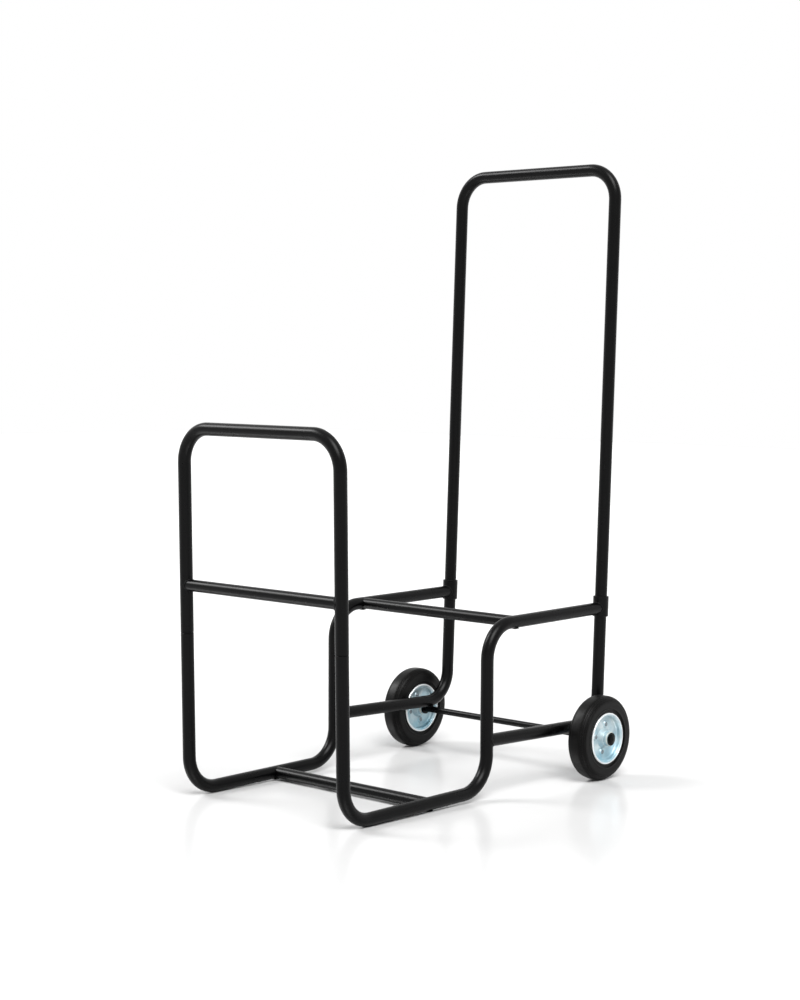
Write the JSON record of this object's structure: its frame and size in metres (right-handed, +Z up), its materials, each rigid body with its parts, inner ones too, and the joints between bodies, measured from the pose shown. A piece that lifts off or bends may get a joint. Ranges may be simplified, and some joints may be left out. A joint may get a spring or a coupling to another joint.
{
  "type": "fireside log cart",
  "caption": "Stepped log cart of bent black round tube, with a front hoop, a raised rear ledge, a tall push handle and two solid rubber wheels.",
  "frame": {"origin": "on the floor, under the middle of the box around the whole cart", "axes": "+Z up, +X from the front hoop back towards the push handle, +Y to the cart's right-hand side as seen from behind the handle"},
  "size_m": [0.7272, 0.498, 1.0951],
  "materials": {
    "frame_black": "semi-gloss black powder coat",
    "zinc_plate": "bright zinc plate with a bluish cast",
    "tyre_rubber": "matt solid rubber",
    "bush_nylon": "natural nylon"
  },
  "bodies": {
    "frame": {"side_frame_left": "frame_black", "side_frame_right": "frame_black", "sleeve_left": "frame_black", "sleeve_right": "frame_black", "rear_leg_left": "frame_black", "rear_leg_right": "frame_black", "front_hoop": "frame_black", "hoop_crossbar": "frame_black", "handle": "frame_black", "lower_crossbar": "frame_black", "ledge_crossbar": "frame_black", "crossbar_plugs": "zinc_plate", "crossbar_screws": "frame_black", "axle": "frame_black", "axle_collars": "frame_black", "axle_washers": "zinc_plate", "axle_cap_left": "frame_black", "axle_cap_right": "frame_black"},
    "wheel_left": {"tyre_left": "tyre_rubber", "rim_outer_left": "zinc_plate", "rim_inner_left": "zinc_plate", "rim_rivets_left": "zinc_plate", "hub_tube_left": "zinc_plate", "hub_bushes_left": "bush_nylon"},
    "wheel_right": {"tyre_right": "tyre_rubber", "rim_outer_right": "zinc_plate", "rim_inner_right": "zinc_plate", "rim_rivets_right": "zinc_plate", "hub_tube_right": "zinc_plate", "hub_bushes_right": "bush_nylon"}
  },
  "joints": [
    {"name": "wheel_left_spin", "type": "hinge", "parent": "frame", "child": "wheel_left", "pos_m": [0.28235, -0.2185, 0.075], "axis": [0, 1, 0], "continuous": true},
    {"name": "wheel_right_spin", "type": "hinge", "parent": "frame", "child": "wheel_right", "pos_m": [0.28235, 0.2185, 0.075], "axis": [0, 1, 0], "continuous": true}
  ]
}
